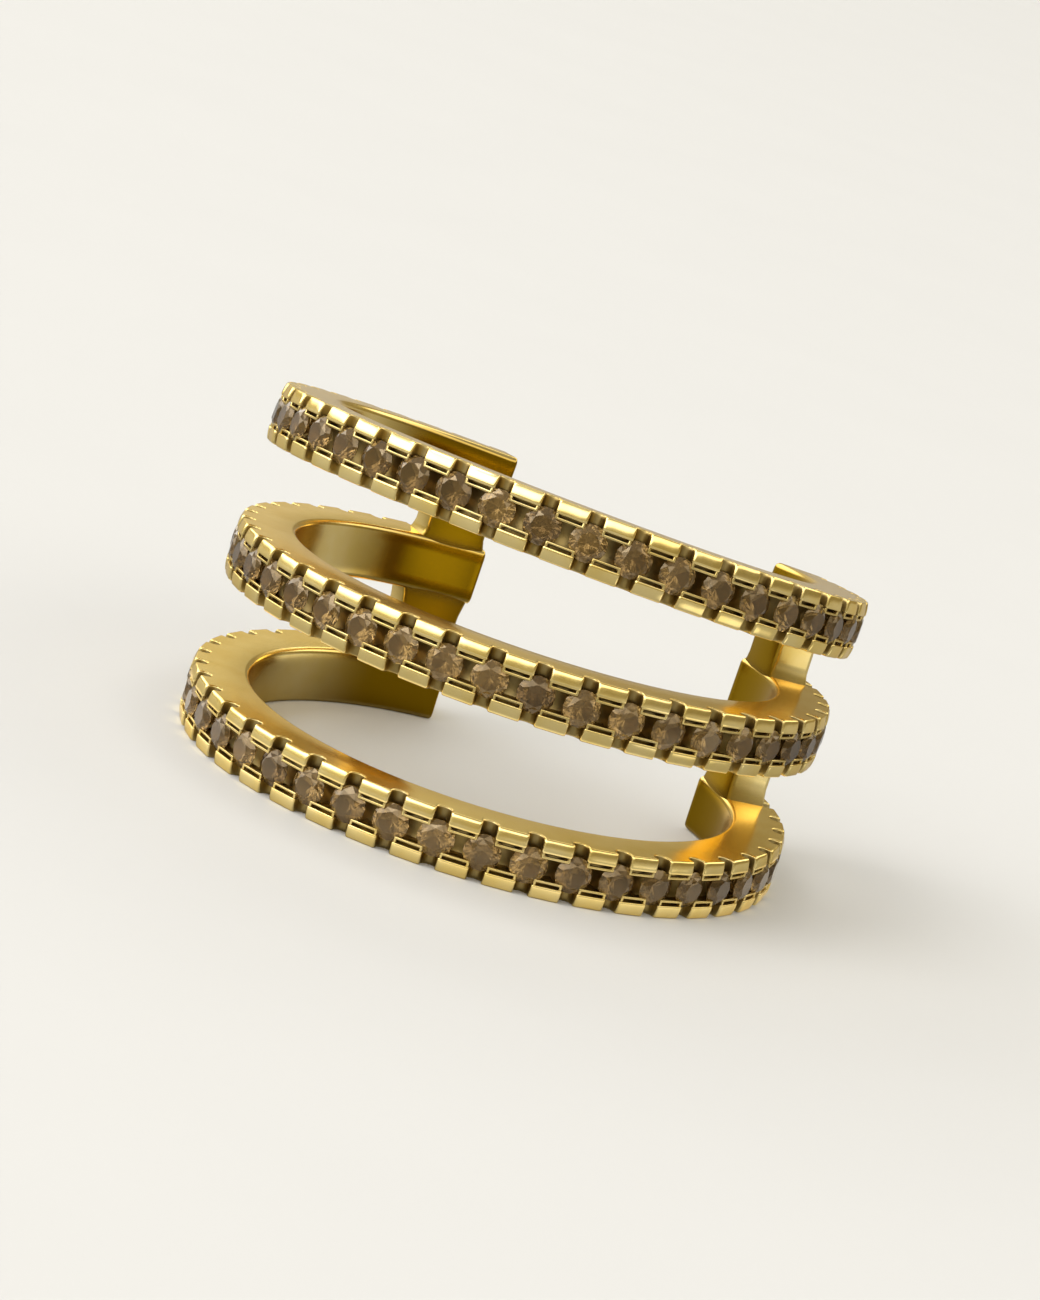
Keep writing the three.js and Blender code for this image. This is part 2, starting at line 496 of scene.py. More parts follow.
def weigh_normals(piece):
    """Keeps the flats of a rounded piece flat in reflections."""
    modifier = piece.modifiers.new("Flat faces", "WEIGHTED_NORMAL")
    modifier.mode = "FACE_AREA"
    modifier.weight = 80
    modifier.keep_sharp = True


def shade_smooth(mesh, sharp_angle):
    """Smooth shading, with the edges that turn by more than this angle kept sharp."""
    mesh.shade_smooth()
    mesh.set_sharp_from_angle(angle=sharp_angle)


def store_value(mesh, name, values):
    """One value from 0 to 1 at each point: "recess" is how much tarnish and painted shade it takes
    where it lies deep beside the stones, and "inner" is 1 on the faces towards the middle of the
    ring, where a warm reflection and shade are painted."""
    layer = mesh.attributes.new(name, "FLOAT", "POINT")
    layer.data.foreach_set("value", values)


# Node tree helpers


def start_tree(name, sockets):
    """A geometry tree with these named inputs. Returns the tree and each input's identifier."""
    tree = bpy.data.node_groups.new(name, "GeometryNodeTree")
    tree.is_modifier = True
    tree.interface.new_socket("Geometry", in_out="INPUT", socket_type="NodeSocketGeometry")
    tree.interface.new_socket("Geometry", in_out="OUTPUT", socket_type="NodeSocketGeometry")
    names = {}
    for label, kind, default in sockets:
        socket = tree.interface.new_socket(label, in_out="INPUT", socket_type=kind)
        if default is not None:
            socket.default_value = default
        names[label] = socket.identifier
    return tree, names


def put(tree, kind, **settings):
    """A new node of this kind, with these settings."""
    node = tree.nodes.new(kind)
    for key, value in settings.items():
        setattr(node, key, value)
    return node


def maths(tree, operation, first, second):
    """A Math node on two inputs, each a socket or a number. Returns its output."""
    node = put(tree, "ShaderNodeMath", operation=operation)
    for socket, value in zip(node.inputs, (first, second)):
        if isinstance(value, bpy.types.NodeSocket):
            tree.links.new(value, socket)
        else:
            socket.default_value = value
    return node.outputs[0]


def add_tree(piece, tree, names, values):
    """Puts a tree on the piece and sets its inputs by the identifiers of their sockets."""
    modifier = piece.modifiers.new(tree.name, "NODES")
    modifier.node_group = tree
    for label, value in values.items():
        modifier[names[label]] = value


def steps_round_ring(tree, group):
    """Points for the pieces along a ring, and the angle of each about the ring's axis."""
    points = put(tree, "GeometryNodePoints")
    tree.links.new(group.outputs["Count"], points.inputs["Count"])
    index = put(tree, "GeometryNodeInputIndex")
    last = maths(tree, "SUBTRACT", group.outputs["Count"], 1.0)
    middle = maths(tree, "MULTIPLY", last, 0.5)
    step = maths(tree, "SUBTRACT", index.outputs[0], middle)
    angle = maths(tree, "MULTIPLY", step, group.outputs["Pitch Angle"])
    return points.outputs[0], angle


def turn_about_axis(tree, angle):
    """The rotation by this angle about Z."""
    vector = put(tree, "ShaderNodeCombineXYZ")
    tree.links.new(angle, vector.inputs["Z"])
    rotation = put(tree, "FunctionNodeEulerToRotation")
    tree.links.new(vector.outputs[0], rotation.inputs[0])
    return rotation.outputs[0]


def finish_tree(tree, group, geometry, merge_distance=None):
    """Realized instances, joined with the object's own mesh, welded and given the material."""
    realize = put(tree, "GeometryNodeRealizeInstances")
    tree.links.new(geometry, realize.inputs[0])
    join = put(tree, "GeometryNodeJoinGeometry")
    tree.links.new(realize.outputs[0], join.inputs[0])
    tree.links.new(group.outputs["Geometry"], join.inputs[0])
    result = join.outputs[0]
    if merge_distance is not None:
        merge = put(tree, "GeometryNodeMergeByDistance")
        tree.links.new(result, merge.inputs["Geometry"])
        merge.inputs["Distance"].default_value = merge_distance
        result = merge.outputs[0]
    paint = put(tree, "GeometryNodeSetMaterial")
    tree.links.new(result, paint.inputs["Geometry"])
    tree.links.new(group.outputs["Material"], paint.inputs["Material"])
    output = put(tree, "NodeGroupOutput")
    tree.links.new(paint.outputs[0], output.inputs[0])


def repeat_tree(name, merge_distance):
    """Repeats one cell of a band along its ring and joins it to the ends of the band."""
    tree, names = start_tree(name, (
        ("Cell", "NodeSocketObject", None),
        ("Count", "NodeSocketInt", 32),
        ("Pitch Angle", "NodeSocketFloat", 0.15),
        ("Material", "NodeSocketMaterial", None),
    ))
    group = put(tree, "NodeGroupInput")
    points, angle = steps_round_ring(tree, group)
    cell = put(tree, "GeometryNodeObjectInfo")
    tree.links.new(group.outputs["Cell"], cell.inputs["Object"])
    cell.inputs["As Instance"].default_value = True
    place = put(tree, "GeometryNodeInstanceOnPoints")
    tree.links.new(points, place.inputs["Points"])
    tree.links.new(cell.outputs["Geometry"], place.inputs["Instance"])
    tree.links.new(turn_about_axis(tree, angle), place.inputs["Rotation"])
    finish_tree(tree, group, place.outputs[0], merge_distance)
    return tree, names


def stone_tree():
    """Spreads one stone along a ring. Each leans and turns a little in its seat, and has its own
    shade."""
    tree, names = start_tree("Stones along a ring", (
        ("Stone", "NodeSocketObject", None),
        ("Count", "NodeSocketInt", 33),
        ("Pitch Angle", "NodeSocketFloat", 0.15),
        ("Girdle Radius", "NodeSocketFloat", 8.23 * MM),
        ("Tilt", "NodeSocketFloat", 0.04),
        ("Seed", "NodeSocketInt", 7),
        ("Material", "NodeSocketMaterial", None),
    ))
    group = put(tree, "NodeGroupInput")
    points, angle = steps_round_ring(tree, group)

    across = maths(tree, "MULTIPLY", maths(tree, "SINE", angle, 0.0), group.outputs["Girdle Radius"])
    forward = maths(tree, "MULTIPLY", maths(tree, "COSINE", angle, 0.0), group.outputs["Girdle Radius"])
    seat = put(tree, "ShaderNodeCombineXYZ")
    tree.links.new(across, seat.inputs["X"])
    tree.links.new(maths(tree, "MULTIPLY", forward, -1.0), seat.inputs["Y"])
    spread = put(tree, "GeometryNodeSetPosition")
    tree.links.new(points, spread.inputs["Geometry"])
    tree.links.new(seat.outputs[0], spread.inputs["Position"])

    stone = put(tree, "GeometryNodeObjectInfo")
    tree.links.new(group.outputs["Stone"], stone.inputs["Object"])
    stone.inputs["As Instance"].default_value = True
    place = put(tree, "GeometryNodeInstanceOnPoints")
    tree.links.new(spread.outputs[0], place.inputs["Points"])
    tree.links.new(stone.outputs["Geometry"], place.inputs["Instance"])
    tree.links.new(turn_about_axis(tree, angle), place.inputs["Rotation"])

    lean = put(tree, "FunctionNodeRandomValue", data_type="FLOAT_VECTOR")
    most = put(tree, "ShaderNodeCombineXYZ")
    tree.links.new(group.outputs["Tilt"], most.inputs["X"])
    most.inputs["Y"].default_value = STONE_TURN
    tree.links.new(group.outputs["Tilt"], most.inputs["Z"])
    least = put(tree, "ShaderNodeVectorMath", operation="SCALE")
    tree.links.new(most.outputs[0], least.inputs[0])
    least.inputs["Scale"].default_value = -1.0
    tree.links.new(least.outputs[0], lean.inputs["Min"])
    tree.links.new(most.outputs[0], lean.inputs["Max"])
    tree.links.new(group.outputs["Seed"], lean.inputs["Seed"])
    lean_turn = put(tree, "FunctionNodeEulerToRotation")
    tree.links.new(lean.outputs[0], lean_turn.inputs[0])
    seated = put(tree, "GeometryNodeRotateInstances")
    tree.links.new(place.outputs[0], seated.inputs["Instances"])
    tree.links.new(lean_turn.outputs[0], seated.inputs["Rotation"])
    seated.inputs["Local Space"].default_value = True

    shade = put(tree, "FunctionNodeRandomValue", data_type="FLOAT")
    tree.links.new(maths(tree, "ADD", group.outputs["Seed"], SHADE_SEED), shade.inputs["Seed"])
    keep = put(tree, "GeometryNodeStoreNamedAttribute", data_type="FLOAT", domain="INSTANCE")
    tree.links.new(seated.outputs[0], keep.inputs["Geometry"])
    keep.inputs["Name"].default_value = "stone_shade"
    shade_value = next(socket for socket in shade.outputs if socket.enabled)
    tree.links.new(shade_value, keep.inputs["Value"])
    finish_tree(tree, group, keep.outputs[0])
    return tree, names


# Bands

# Where a section of the band is taken: its angle on the bore, the outline's point and normal there,
# how much tarnish and painted shade that point takes in a recess, whether the channel is closed,
# and the section's scale
Station = namedtuple("Station", "angle point normal sunk filled shrink", defaults=(0.0, False, 1.0))


def pitch_angle(scene):
    """The angle between two stones about a ring's axis."""
    return scene.cuff_stone.pitch / scene.cuff_band.outer_radius


def half_outline(band, pitch):
    """Half of a cell's outline, seen along the ring's axis: from the middle of a prong, round its
    corner and down into the notch, to the notch's middle. Points and normals are (along, outwards),
    and the third value, the share of tarnish and painted shade, grows from 0 on the prong's face to
    its most in the notch, where the painted shade stands for the notch lying in shadow."""
    half = pitch / 2
    ray = Vector((math.sin(half), math.cos(half)))
    side = Vector((-math.cos(half), math.sin(half)))
    top = band.outer_radius * math.cos(half)
    reach = band.notch_width / 2
    up_ray = (top - band.corner - (reach + band.corner) * side.y) / ray.y
    corner_middle = up_ray * ray + (reach + band.corner) * side
    notch_middle = (band.outer_radius - band.notch_depth + reach) * ray
    upwards = Vector((0, 1))
    outline = [(Vector((0, top)), upwards, 0.0), (Vector((corner_middle.x / 2, top)), upwards, 0.0)]
    for i in range(CORNER_STEPS + 1):
        turn = math.pi / 2 - (math.pi / 2 + half) * i / CORNER_STEPS
        normal = Vector((math.cos(turn), math.sin(turn)))
        # Painted shade with tarnish: the corner darkens towards the notch
        sunk = CORNER_RECESS * (i / CORNER_STEPS) ** 2
        outline.append((corner_middle + band.corner * normal, normal, sunk))
    for i in range(NOTCH_STEPS + 1):
        turn = math.pi / 2 * i / NOTCH_STEPS
        away = math.cos(turn) * side - math.sin(turn) * ray
        # Painted shade with tarnish: the notch is darker, as it lies in shadow
        sunk = NOTCH_START + (NOTCH_END - NOTCH_START) * i / NOTCH_STEPS
        outline.append((notch_middle + reach * away, -away, sunk))
    return outline


def half_stations(band, pitch):
    """The half outline with, for each point, the angle of its section on the bore."""
    outline = half_outline(band, pitch)
    lengths = [0.0]
    for (first, _, _), (second, _, _) in zip(outline, outline[1:]):
        lengths.append(lengths[-1] + (second - first).length)
    return [
        Station(pitch / 2 * length / lengths[-1], point, normal, sunk)
        for length, (point, normal, sunk) in zip(lengths, outline)
    ]


def mirrored(stations):
    """The same stations on the other side of the cell's middle, in reverse order."""
    return [
        station._replace(
            angle=-station.angle,
            point=Vector((-station.point.x, station.point.y)),
            normal=Vector((-station.normal.x, station.normal.y)))
        for station in reversed(stations)
    ]


def end_stations(band, stone, pitch):
    """From the middle of the last notch to the end of the band: the channel closes behind the last
    stone, and the end face has rounded edges."""
    half = pitch / 2
    top = band.outer_radius * math.cos(half)
    upwards = Vector((0, 1))
    last_stone = (stone.count - 1) * half
    end_angle = math.pi - band.gap / 2 - last_stone - half
    girdle_radius = band.outer_radius - stone.crown
    channel_end = stone.diameter / 2 / girdle_radius - half

    def on_flat(angle, filled, shrink=1.0):
        return Station(angle, Vector((top * math.tan(angle), top)), upwards, 0.0, filled, shrink)

    stations = mirrored(half_stations(band, pitch)[2:])
    stations.append(on_flat(channel_end - CLOSING_ANGLE, False))
    stations.append(on_flat(channel_end, True))
    rounding = band.end_edge / top
    for i in range(END_STEPS + 1):
        turn = math.pi / 2 * i / END_STEPS
        inset = band.end_edge * (1 - math.cos(turn))
        shrink = 1 - inset / (band.height / 2)
        stations.append(on_flat(end_angle - rounding * (1 - math.sin(turn)), True, shrink))
    return stations


def section(station, band):
    """A closed loop of (point, across, depth in recess as the share of tarnish and painted shade, on
    the inner side as the share of painted warm reflection and shade) round the band at one station."""
    half_height = band.height / 2
    channel_half = half_height - band.wall
    sine, cosine = math.sin(station.angle), math.cos(station.angle)
    loop = []

    def on_ray(radius, across, recess, inner=0.0):
        loop.append((Vector((radius * sine, radius * cosine)), across, recess, inner))

    def on_outline(inset, across, recess):
        """A point under the cell's outline. A prong's face falls towards the band's edge, and a
        notch stays straight."""
        fall = band.slope * (max(0.0, across - channel_half) / band.wall) ** 2
        if station.sunk >= NOTCH_START:
            fall = 0.0
        loop.append((station.point - inset * station.normal - Vector((0, fall)), across, recess, 0.0))

    # The bore takes the painted warm reflection and shade in full, fading out over its rounded edge
    on_ray(band.bore_radius, 0, 0.0, 1.0)
    on_ray(band.bore_radius, half_height * BORE_POINT, 0.0, 1.0)
    for i in range(BORE_STEPS + 1):
        turn = math.pi / 2 * i / BORE_STEPS
        radius = band.bore_radius + band.bore_edge * (1 - math.cos(turn))
        on_ray(radius, half_height - band.bore_edge * (1 - math.sin(turn)), 0.0,
               1 - i / BORE_STEPS)
    on_ray(band.channel_radius, half_height, 0.0)
    on_outline(band.edge * EDGE_SUPPORT, half_height, 0.0)
    for i in range(EDGE_STEPS + 1):
        turn = math.pi / 2 * i / EDGE_STEPS
        on_outline(band.edge * (1 - math.sin(turn)), half_height - band.edge * (1 - math.cos(turn)),
                   station.sunk * i / EDGE_STEPS)
    inner_edge = band.edge * INNER_EDGE
    face_width = band.wall - band.edge - inner_edge
    for i in range(FACE_STEPS - 1, 0, -1):
        on_outline(0, channel_half + inner_edge + face_width * i / FACE_STEPS, station.sunk)
    if station.filled:
        for share in CLOSED_POINTS:
            on_outline(0, channel_half * share, 0.0)
        on_outline(0, 0, 0.0)
    else:
        # Tarnish and painted shade on the wall's inner face and in the channel between the stones
        on_outline(0, channel_half + inner_edge, station.sunk)
        inner_middle = inner_edge * INNER_EDGE_MIDDLE
        on_outline(inner_middle, channel_half + inner_middle, max(INNER_EDGE_RECESS, station.sunk))
        on_outline(inner_edge, channel_half, max(WALL_RECESS, station.sunk))
        on_ray(band.channel_radius + band.edge, channel_half, CHANNEL_RECESS)
        on_ray(band.channel_radius, channel_half - band.edge, CHANNEL_RECESS)
        on_ray(band.channel_radius, 0, CHANNEL_RECESS)
    loop += [(point, -across, recess, inner) for point, across, recess, inner in reversed(loop[1:-1])]
    middle_radius = (band.bore_radius + band.outer_radius) / 2
    middle = Vector((middle_radius * sine, middle_radius * cosine))
    return [
        (middle + (point - middle) * station.shrink, across * station.shrink, recess, inner)
        for point, across, recess, inner in loop
    ]


def band_strip(name, stations, band, turn=0.0, close_last=False):
    """The mesh through these stations, turned about the ring's axis, with its attributes."""
    points, recesses, inners = [], [], []
    for station in stations:
        for point, across, recess, inner in section(station, band):
            points.append((point.x, -point.y, across))
            recesses.append(recess)
            inners.append(inner)
    size = len(points) // len(stations)
    faces = faces_between(len(stations), size)
    if close_last:
        faces.append(tuple(range((len(stations) - 1) * size, len(stations) * size)))
    mesh = bpy.data.meshes.new(name)
    mesh.from_pydata(points, [], faces)
    store_value(mesh, "recess", recesses)
    store_value(mesh, "inner", inners)
    mesh.transform(Matrix.Rotation(turn, 4, "Z"))
    return mesh


def join_meshes(name, meshes):
    """One mesh of several, which are removed."""
    shape = bmesh.new()
    for mesh in meshes:
        shape.from_mesh(mesh)
        bpy.data.meshes.remove(mesh)
    joined = bpy.data.meshes.new(name)
    shape.to_mesh(joined)
    shape.free()
    return joined


def band_ends(band, stone, pitch):
    """Both ends of a band, in the ring's own frame."""
    turn = (stone.count - 1) * pitch / 2 + pitch / 2
    stations = end_stations(band, stone, pitch)
    right = band_strip("end_right", stations, band, turn, close_last=True)
    left_stations = mirrored(stations)
    left_stations.reverse()
    left = band_strip("end_left", left_stations, band, -turn, close_last=True)
    return join_meshes("band_ends", [left, right])


def turn_outwards(mesh):
    """Turns the faces of a closed mesh outwards."""
    shape = bmesh.new()
    shape.from_mesh(mesh)
    bmesh.ops.recalc_face_normals(shape, faces=shape.faces)
    shape.to_mesh(mesh)
    shape.free()


class CUFF_OT_bands(bpy.types.Operator):
    """Make the three open bands with their channels and notched walls"""

    bl_idname = "object.cuff_bands"
    bl_label = "Bands"

    def execute(self, context):
        scene = context.scene
        band, stone = scene.cuff_band, scene.cuff_stone
        pitch = pitch_angle(scene)
        right = half_stations(band, pitch)
        cell_mesh = band_strip("band_cell", mirrored(right)[:-1] + right, band)
        cell = add_helper("band_cell", cell_mesh)
        tree, names = repeat_tree("Cells along a ring", merge_distance=1e-6)
        for place in ring_places(scene):
            piece = add_object(f"band_{place.name}", band_ends(band, stone, pitch))
            add_tree(piece, tree, names, {
                "Cell": cell, "Count": stone.count - 1, "Pitch Angle": pitch,
                "Material": gold_material(scene),
            })
            made_plain(piece, Matrix.Identity(4))
            turn_outwards(piece.data)
            shade_smooth(piece.data, BAND_SHARP)
            weigh_normals(piece)
            made_plain(piece, place.matrix)
            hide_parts("cuff_frame")
            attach(piece, "root")
        drop_helper(cell)
        return {"FINISHED"}


# Prongs


def rounded_prism(outline, bottom, top, rounding, segments=2):
    """A closed block over an outline of (along, across) points, with rounded edges.
    It stands outwards, between two radii."""
    shape = bmesh.new()
    base = [shape.verts.new((along, -bottom, across)) for along, across in outline]
    face = shape.faces.new(base)
    raised = bmesh.ops.extrude_face_region(shape, geom=[face])
    moved = [item for item in raised["geom"] if isinstance(item, bmesh.types.BMVert)]
    bmesh.ops.translate(shape, verts=moved, vec=(0, bottom - top, 0))
    bmesh.ops.recalc_face_normals(shape, faces=shape.faces)
    bmesh.ops.bevel(shape, geom=list(shape.edges), offset=rounding, segments=segments,
                    profile=0.5, affect="EDGES", clamp_overlap=True)
    mesh = bpy.data.meshes.new("block")
    shape.to_mesh(mesh)
    shape.free()
    return mesh


def prong_pair(band, prong, pitch, start=-1.0, end=1.0):
    """The lip, pocket and root on the inner side of both walls, from start to end of a cell,
    where -1 and 1 are the lip's ends."""
    top = band.outer_radius * math.cos(pitch / 2)
    channel_half = band.height / 2 - band.wall
    in_wall = channel_half + LIP_IN_WALL
    left, right = start * prong.width / 2, end * prong.width / 2
    pocket_left = max(-prong.pocket_length / 2, left + POCKET_MARGIN)
    pocket_right = min(prong.pocket_length / 2, right - POCKET_MARGIN)
    rim_end = prong.reach + prong.rim
    lip_top = top - prong.drop
    lip = [
        (left, in_wall), (left, prong.reach), (right, prong.reach), (right, in_wall),
        (pocket_right, in_wall), (pocket_right, rim_end),
        (pocket_left, rim_end), (pocket_left, in_wall),
    ]
    root_left = max(-prong.root / 2, left)
    root_right = min(prong.root / 2, right)
    root_reach = prong.reach + ROOT_SETBACK
    root = [
        (root_left, in_wall), (root_left, root_reach),
        (root_right, root_reach), (root_right, in_wall),
    ]
    floor_left = left + POCKET_FLOOR_INSET
    floor_right = right - POCKET_FLOOR_INSET
    floor = [
        (floor_left, in_wall), (floor_left, rim_end),
        (floor_right, rim_end), (floor_right, in_wall),
    ]
    pocket_floor = top - prong.pocket_depth
    meshes = [
        rounded_prism(lip, lip_top - prong.thickness, lip_top, LIP_ROUNDING),
        rounded_prism(root, band.channel_radius - LIP_IN_WALL, pocket_floor, LIP_ROUNDING, 1),
        rounded_prism(floor, pocket_floor - POCKET_FLOOR_THICKNESS, pocket_floor,
                      POCKET_FLOOR_ROUNDING, 1),
    ]
    upper = join_meshes("prong", meshes)
    lower = upper.copy()
    lower.transform(Matrix.Scale(-1, 4, Vector((0, 0, 1))))
    lower.flip_normals()
    pair = join_meshes("prong_pair", [upper, lower])
    # Tarnish and painted shade that deepen down the lip into its pocket
    depth = [(lip_top + vertex.co.y - LIP_ROUNDING) / LIP_PAINTED_SHADE_HEIGHT for vertex in pair.vertices]
    store_value(pair, "recess", [max(LIP_RECESS, min(CHANNEL_RECESS, value)) for value in depth])
    store_value(pair, "inner", [0.0] * len(pair.vertices))
    return pair


class CUFF_OT_prongs(bpy.types.Operator):
    """Make the lips that hold the stones, with a small pocket behind each"""

    bl_idname = "object.cuff_prongs"
    bl_label = "Prongs"

    def execute(self, context):
        scene = context.scene
        band, stone, prong = scene.cuff_band, scene.cuff_stone, scene.cuff_prong
        pitch = pitch_angle(scene)
        cell = add_helper("prong_cell", prong_pair(band, prong, pitch))
        tree, names = repeat_tree("Prongs along a ring", merge_distance=None)
        end_turn = stone.count * pitch / 2
        for place in ring_places(scene):
            right = prong_pair(band, prong, pitch, end=LAST_LIP_END)
            right.transform(Matrix.Rotation(end_turn, 4, "Z"))
            left = prong_pair(band, prong, pitch, start=-LAST_LIP_END)
            left.transform(Matrix.Rotation(-end_turn, 4, "Z"))
            piece = add_object(f"prongs_{place.name}", join_meshes("prong_ends", [left, right]))
            add_tree(piece, tree, names, {
                "Cell": cell, "Count": stone.count - 1, "Pitch Angle": pitch,
                "Material": gold_material(scene),
            })
            made_plain(piece, Matrix.Identity(4))
            shade_smooth(piece.data, BAND_SHARP)
            weigh_normals(piece)
            made_plain(piece, place.matrix)
            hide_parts("cuff_frame")
            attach(piece, "root")
        drop_helper(cell)
        return {"FINISHED"}


# Posts


def rounded_rectangle(left, right, inner, outer, corner):
    """A rectangle's outline with rounded corners, of (along, outwards) points."""
    outline = []
    middles = ((right - corner, outer - corner, 0), (left + corner, outer - corner, 1),
               (left + corner, inner + corner, 2), (right - corner, inner + corner, 3))
    for along, outwards, quarter in middles:
        for i in range(POST_CORNER_STEPS + 1):
            turn = math.pi / 2 * (quarter + i / POST_CORNER_STEPS)
            outline.append((along + corner * math.cos(turn), outwards + corner * math.sin(turn)))
    return outline


def post_mesh(name, lower, upper, side, scene):
    """A post between two rings at one end of the gap, spreading a little into the solder where it
    meets each band."""
    band, post = scene.cuff_band, scene.cuff_post
    sunk_height = band.height / 2 - POST_SINK
    angle = math.pi - band.gap / 2 - (post.inset + post.width / 2) / band.bore_radius
    turn = Matrix.Rotation(side * angle, 4, "Z")
    start = lower.matrix @ turn
    finish = upper.matrix @ turn
    points, recesses, inners = [], [], []
    for level in range(POST_LEVELS):
        share = level / (POST_LEVELS - 1)
        nearest = min(share, 1 - share)
        spread = post.fillet * max(0.0, 1 - nearest / SOLDER_LENGTH) ** 2
        outline = rounded_rectangle(
            -post.width / 2 - min(spread, post.inset * SOLDER_ON_INSET), post.width / 2 + spread,
            band.bore_radius, band.bore_radius + post.depth + spread * SOLDER_OUTWARDS,
            post.corner)
        for along, outwards in outline:
            first = start @ Vector((along, -outwards, sunk_height))
            last = finish @ Vector((along, -outwards, -sunk_height))
            points.append(first.lerp(last, share))
            # Tarnish and painted shade at the solder's foot, and the painted warm reflection and shade
            # towards the bore
            recesses.append(max(0.0, SOLDER_RECESS - nearest * SOLDER_FADE))
            inners.append(1 - (outwards - band.bore_radius) / (post.depth * POST_AMBER_REFLECTION_DEPTH))
    size = len(points) // POST_LEVELS
    faces = faces_between(POST_LEVELS, size)
    faces.append(tuple(range(size)))
    faces.append(tuple(range((POST_LEVELS - 1) * size, POST_LEVELS * size)))
    mesh = bpy.data.meshes.new(name)
    mesh.from_pydata([tuple(point) for point in points], [], faces)
    store_value(mesh, "recess", recesses)
    store_value(mesh, "inner", [max(0.0, min(1.0, value)) for value in inners])
    return mesh


class CUFF_OT_posts(bpy.types.Operator):
    """Make the posts that join the bands at both ends of the gap"""

    bl_idname = "object.cuff_posts"
    bl_label = "Posts"

    def execute(self, context):
        scene = context.scene
        places = ring_places(scene)
        meshes = []
        for lower, upper in zip(places, places[1:]):
            for side in (-1, 1):
                meshes.append(post_mesh("post", lower, upper, side, scene))
        piece = add_object("posts", join_meshes("posts", meshes))
        turn_outwards(piece.data)
        shade_smooth(piece.data, POST_SHARP)
        piece.data.materials.append(gold_material(scene))
        weigh_normals(piece)
        made_plain(piece, Matrix.Identity(4))
        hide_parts("cuff_frame")
        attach(piece, "root")
        return {"FINISHED"}


# Stones


def brilliant_mesh(stone):
    """A round brilliant with its girdle's middle at the origin and its table towards -Y:
    table, star, kite and upper girdle facets, girdle, lower girdle facets and pavilion mains."""
    sides = BRILLIANT_SIDES
    radius = stone.diameter / 2
    table = stone.table / 2
    half_girdle = stone.girdle / 2

    def level(count, distance, height, offset):
        """A ring of points round the stone's axis, turned by a share of its step."""
        ring = []
        for i in range(count):
            turn = 2 * math.pi * (i + offset) / count
            ring.append((distance * math.cos(turn), -height, distance * math.sin(turn)))
        return ring

    kite_radius = table + (radius - table) * KITE_OUT
    kite_height = half_girdle + (stone.crown - half_girdle) * KITE_UP
    main_radius = radius * MAIN_RADIUS
    main_height = -(half_girdle + (stone.pavilion - half_girdle) * MAIN_DEPTH)
    rings = [
        level(sides, table, stone.crown, 0),
        level(sides, kite_radius, kite_height, 0.5),
        level(2 * sides, radius, half_girdle, 0),
        level(2 * sides, radius, -half_girdle, 0),
        level(sides, main_radius, main_height, 0),
        [(0, stone.pavilion, 0)],
    ]
    starts = [0]
    for ring in rings:
        starts.append(starts[-1] + len(ring))
    points = [point for ring in rings for point in ring]
    top, kite, upper, lower, main_level, culet = starts[:6]
    faces = [tuple(top + i for i in range(sides))]
    for i in range(sides):
        after = (i + 1) % sides
        double, next_double = 2 * i, (2 * i + 1) % (2 * sides)
        far_double = (2 * i + 2) % (2 * sides)
        faces.append((top + i, top + after, kite + i))
        faces.append((kite + i, top + after, kite + after, upper + far_double))
        faces.append((kite + i, upper + double, upper + next_double))
        faces.append((kite + i, upper + next_double, upper + far_double))
        faces.append((upper + double, lower + double, lower + next_double, upper + next_double))
        faces.append((upper + next_double, lower + next_double, lower + far_double, upper + far_double))
        faces.append((lower + double, main_level + i, lower + next_double))
        faces.append((lower + next_double, main_level + after, lower + far_double))
        faces.append((lower + next_double, main_level + i, culet, main_level + after))
    return mesh_from("brilliant", points, faces)


class CUFF_OT_stones(bpy.types.Operator):
    """Set a row of round brilliants into each band"""

    bl_idname = "object.cuff_stones"
    bl_label = "Stones"

    def execute(self, context):
        scene = context.scene
        band, stone = scene.cuff_band, scene.cuff_stone
        brilliant = add_helper("brilliant", brilliant_mesh(stone))
        tree, names = stone_tree()
        for number, place in enumerate(ring_places(scene)):
            piece = add_object(f"stones_{place.name}", bpy.data.meshes.new(f"stones_{place.name}"))
            add_tree(piece, tree, names, {
                "Stone": brilliant, "Count": stone.count, "Pitch Angle": pitch_angle(scene),
                "Girdle Radius": band.outer_radius - stone.crown, "Tilt": stone.tilt,
                "Seed": stone.seed + number, "Material": stone_material(scene),
            })
            made_plain(piece, place.matrix)
            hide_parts(f"stone_row_{place.name}")
            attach(piece, "root")
        drop_helper(brilliant)
        return {"FINISHED"}


# Materials


def link_noise(tree, coordinates, scale, detail):
    """A noise pattern on these coordinates. Its scale is in waves to the metre."""
    noise = put(tree, "ShaderNodeTexNoise")
    noise.inputs["Scale"].default_value = scale
    noise.inputs["Detail"].default_value = detail
    tree.links.new(coordinates, noise.inputs["Vector"])
    return noise.outputs["Fac"]


def mix_colours(tree, factor, first, second, blend="MIX"):
    """A Mix node for colours. Each of its three inputs is a socket or a value."""
    node = put(tree, "ShaderNodeMix", data_type="RGBA", blend_type=blend)
    values = (factor, first, second)
    sockets = (node.inputs[0], node.inputs[6], node.inputs[7])
    for socket, value in zip(sockets, values):
        if isinstance(value, bpy.types.NodeSocket):
            tree.links.new(value, socket)
        else:
            socket.default_value = value
    return node.outputs[2]


